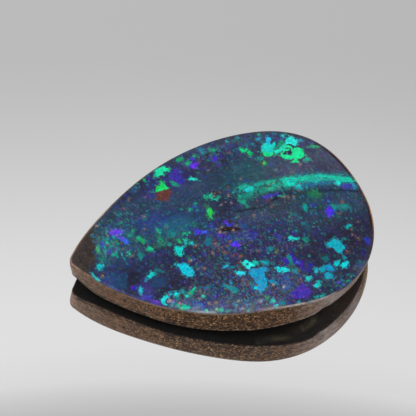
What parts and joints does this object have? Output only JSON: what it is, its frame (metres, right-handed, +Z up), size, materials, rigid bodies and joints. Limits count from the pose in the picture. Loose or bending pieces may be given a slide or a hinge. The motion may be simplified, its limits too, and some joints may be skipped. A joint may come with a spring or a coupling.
{
  "type": "boulder opal",
  "caption": "Polished pear-shaped boulder opal: a low-domed face of blue and green opal on a brown ironstone back with a rounded underside and a level base.",
  "frame": {"origin": "the middle of the stone's length and width, on the flat of its back that it rests on", "axes": "+X along the stone from its tip to its round end, +Y towards its back flank, +Z up out of the polished face"},
  "size_m": [0.0198, 0.0146, 0.0033],
  "materials": {
    "opal_on_ironstone": "polished"
  },
  "bodies": {
    "root": {"boulder_opal": "opal_on_ironstone"}
  },
  "joints": []
}
